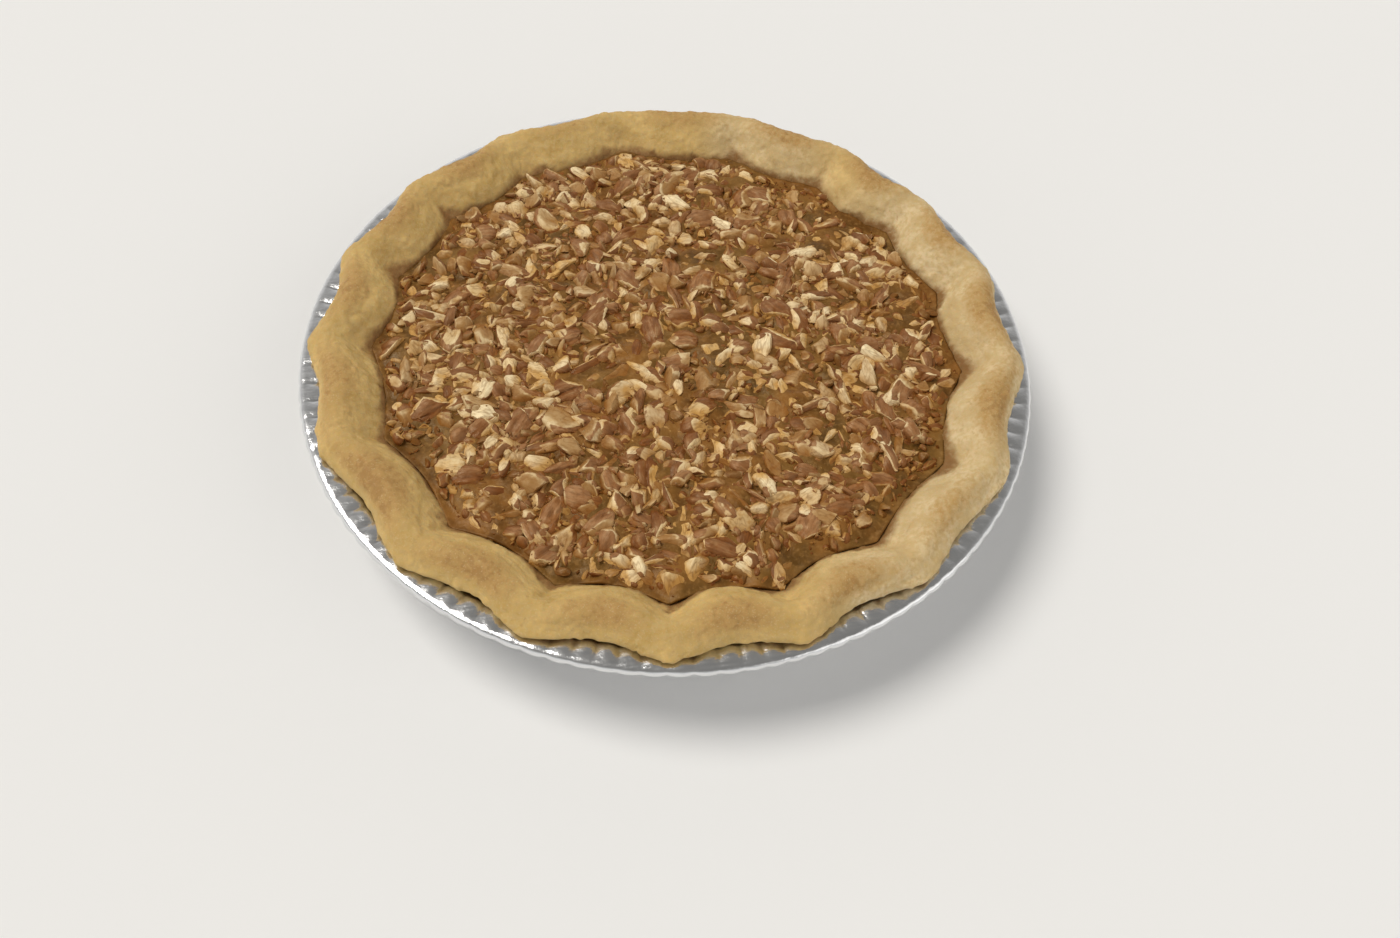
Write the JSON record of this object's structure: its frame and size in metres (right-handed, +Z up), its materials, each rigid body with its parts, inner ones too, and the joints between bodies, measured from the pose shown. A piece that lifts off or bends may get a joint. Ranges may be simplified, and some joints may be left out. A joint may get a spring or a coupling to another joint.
{
  "type": "pecan pie",
  "caption": "Whole round pecan pie: pale fluted pastry crust, brown filling covered with chopped pecans, in a plain foil pan with a rolled rim.",
  "frame": {"origin": "centre of the pan's flat base, where the pie rests", "axes": "+Z up out of the pie's top; X and Y lie in the base, with the shown side towards -Y"},
  "size_m": [0.2306, 0.2306, 0.0392],
  "materials": {
    "foil": "thin bare aluminium foil, satin, softly pleated wall",
    "pastry": "pale baked shortcrust pastry, matt, golden brown along its top edge",
    "pecan_filling": "caramel brown syrup filling with chopped pecans, softly glossy"
  },
  "bodies": {
    "root": {"foil_pan": "foil", "crust": "pastry", "filling": "pecan_filling"}
  },
  "joints": []
}
